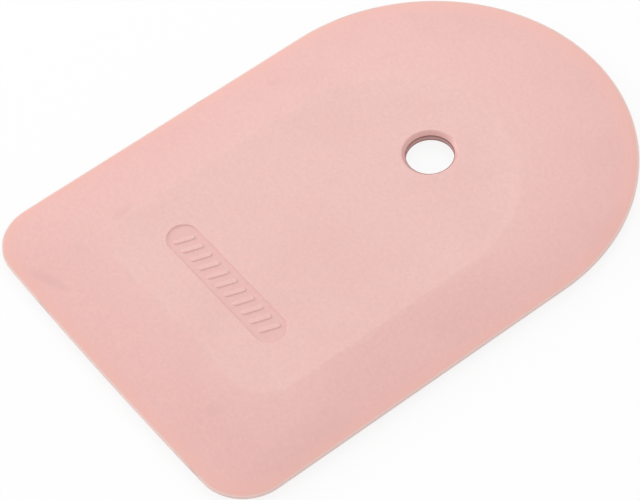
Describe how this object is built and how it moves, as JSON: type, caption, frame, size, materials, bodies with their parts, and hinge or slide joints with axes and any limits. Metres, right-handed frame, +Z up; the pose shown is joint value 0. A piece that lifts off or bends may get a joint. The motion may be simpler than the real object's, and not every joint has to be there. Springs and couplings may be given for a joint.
{
  "type": "bowl scraper",
  "caption": "Flexible kitchen bowl scraper with a straight edge, a half-round end, thin tapered lips, a stiff inner plate, a hanging hole and a sunk thumb panel.",
  "frame": {"origin": "under the middle of the outline, on the plain flat face that the scraper lies on", "axes": "+Y towards the round end, +Z up out of the face with the thumb panel, +X to the right as seen from above with the round end away"},
  "size_m": [0.1, 0.1446, 0.004],
  "materials": {
    "skin_silicone": "matte pale pink food-grade silicone",
    "core_nylon": "matte dusky pink glass-filled nylon"
  },
  "bodies": {
    "root": {"upper_skin": "skin_silicone", "core_plate": "core_nylon", "lower_skin": "skin_silicone"}
  },
  "joints": []
}
